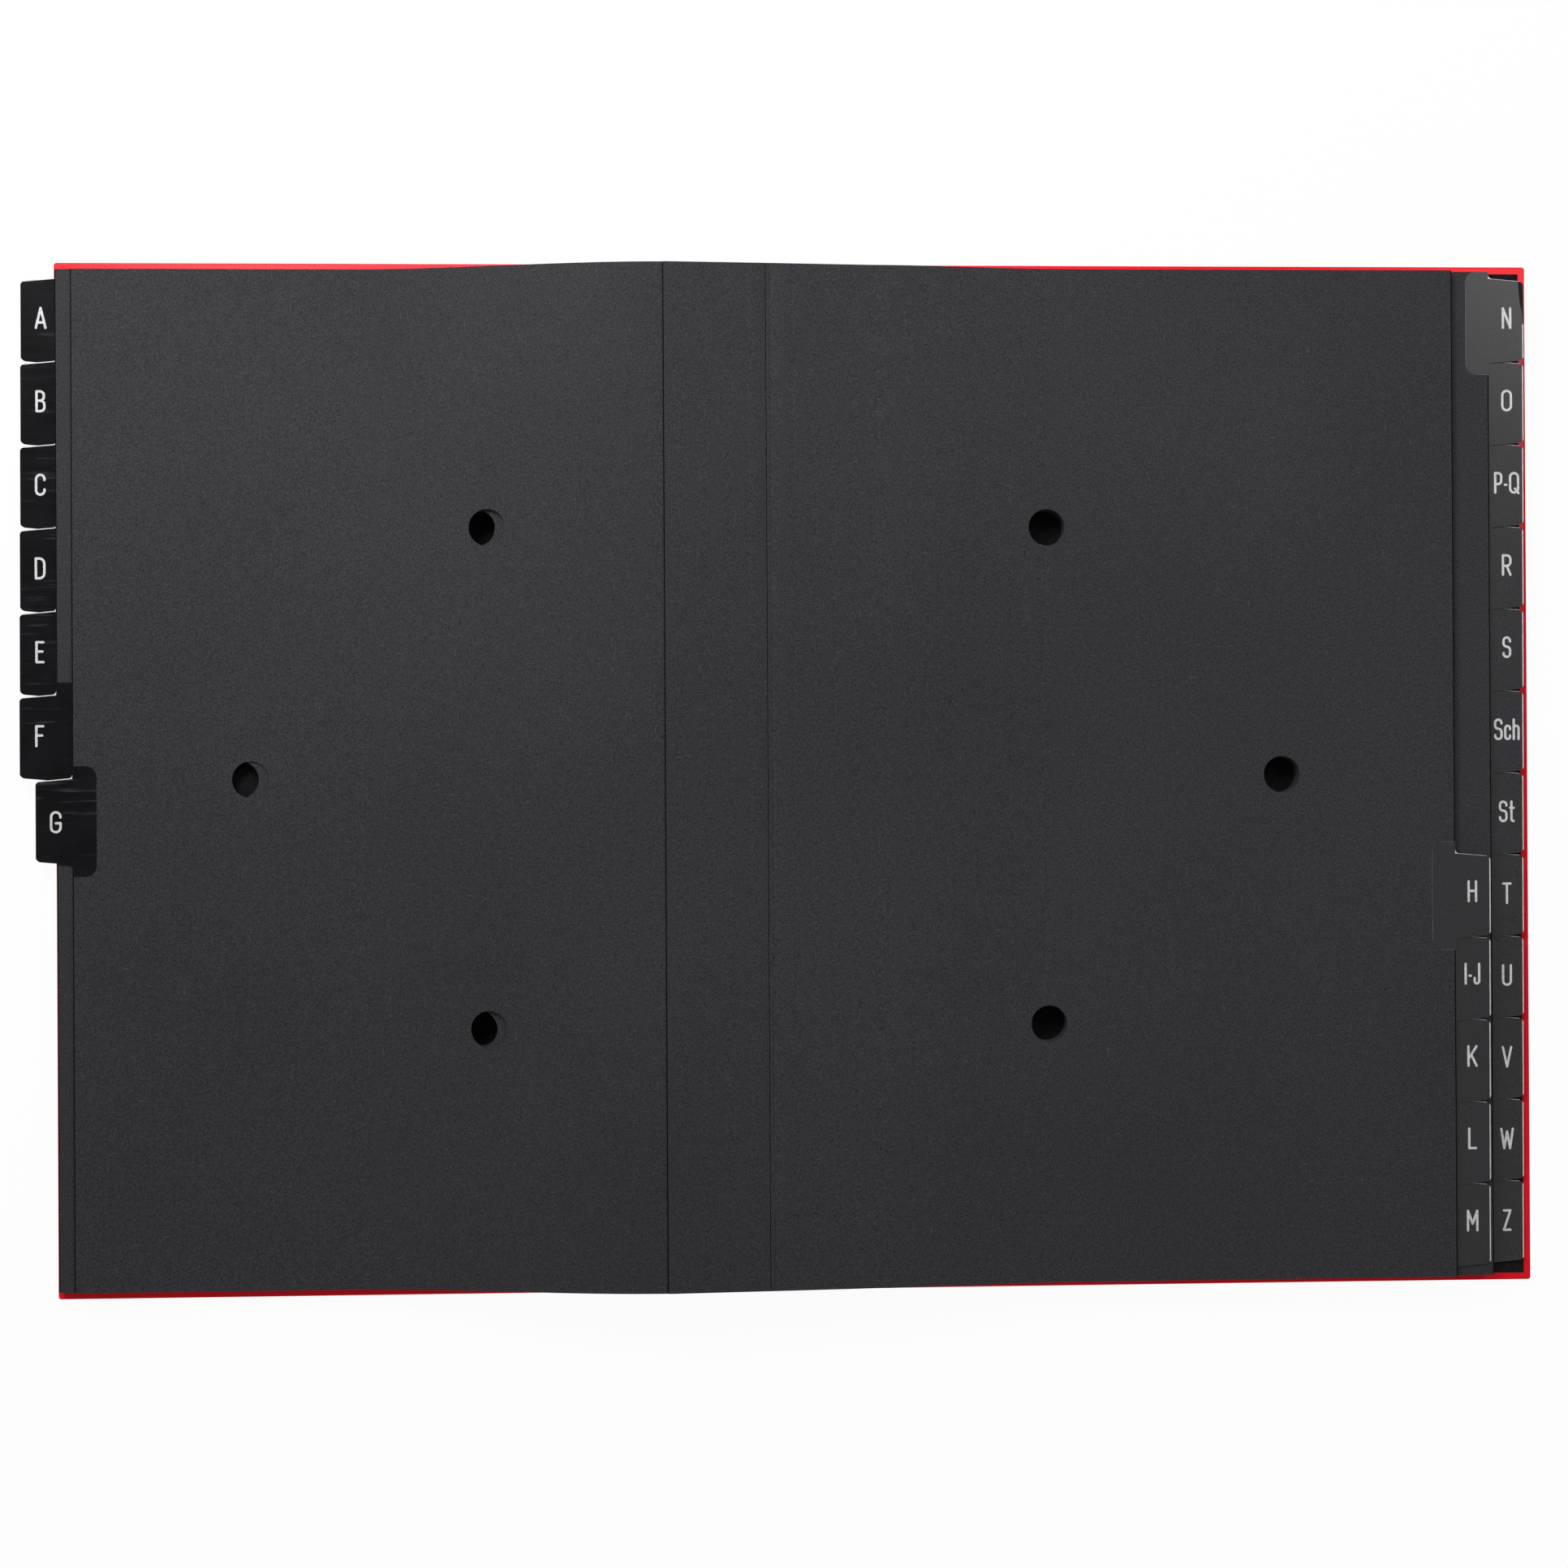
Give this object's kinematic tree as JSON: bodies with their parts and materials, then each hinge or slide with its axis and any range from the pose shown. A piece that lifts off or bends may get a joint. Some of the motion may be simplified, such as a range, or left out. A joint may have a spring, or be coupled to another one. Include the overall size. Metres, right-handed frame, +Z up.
{
  "type": "alphabetical desk sorter",
  "caption": "Open desk sorter with hard covers, a pleated cloth spine and black card leaves with stepped, film-covered index tabs and sight holes",
  "frame": {"origin": "middle of the open sorter's footprint, on the surface it lies on", "axes": "+X across the open sorter towards the back cover's fore-edge, +Y up the page, +Z up from the table"},
  "size_m": [0.4994, 0.34, 0.0192],
  "materials": {
    "red_laminate": "board wrapped in red film-laminated paper, glossy",
    "black_card": "matt dyed-through card, finely mottled",
    "black_endpaper": "matt black paper",
    "black_film": "thin laminating film over black card, satin gloss",
    "black_cloth": "woven black bookcloth, pleated"
  },
  "bodies": {
    "back_half": {"back_cover": "red_laminate", "back_endpaper": "black_endpaper", "spine_cloth_back": "black_cloth", "end_strip": "black_card", "leaf_H": "black_card", "leaf_I_J": "black_card", "leaf_K": "black_card", "leaf_L": "black_card", "leaf_M": "black_card", "leaf_N": "black_card", "leaf_O": "black_card", "leaf_P_Q": "black_card", "leaf_R": "black_card", "leaf_S": "black_card", "leaf_Sch": "black_card", "leaf_St": "black_card", "leaf_T": "black_card", "leaf_U": "black_card", "leaf_V": "black_card", "leaf_W": "black_card", "leaf_Z": "black_card", "tab_film_H": "black_film", "tab_film_I_J": "black_film", "tab_film_K": "black_film", "tab_film_L": "black_film", "tab_film_M": "black_film", "tab_film_N": "black_film", "tab_film_O": "black_film", "tab_film_P_Q": "black_film", "tab_film_R": "black_film", "tab_film_S": "black_film", "tab_film_Sch": "black_film", "tab_film_St": "black_film", "tab_film_T": "black_film", "tab_film_U": "black_film", "tab_film_V": "black_film", "tab_film_W": "black_film", "tab_film_Z": "black_film"},
    "front_half": {"front_cover": "red_laminate", "front_endpaper": "black_endpaper", "spine_cloth_front": "black_cloth", "leaf_A": "black_card", "leaf_B": "black_card", "leaf_C": "black_card", "leaf_D": "black_card", "leaf_E": "black_card", "leaf_F": "black_card", "leaf_G": "black_card", "tab_film_A": "black_film", "tab_film_B": "black_film", "tab_film_C": "black_film", "tab_film_D": "black_film", "tab_film_E": "black_film", "tab_film_F": "black_film", "tab_film_G": "black_film", "strip_H": "black_card"}
  },
  "joints": [
    {"name": "front_cover_hinge", "type": "hinge", "parent": "back_half", "child": "front_half", "pos_m": [-0.00535, 0, 0.0173], "axis": [0, 1, 0], "range_deg": [0, 180]}
  ]
}
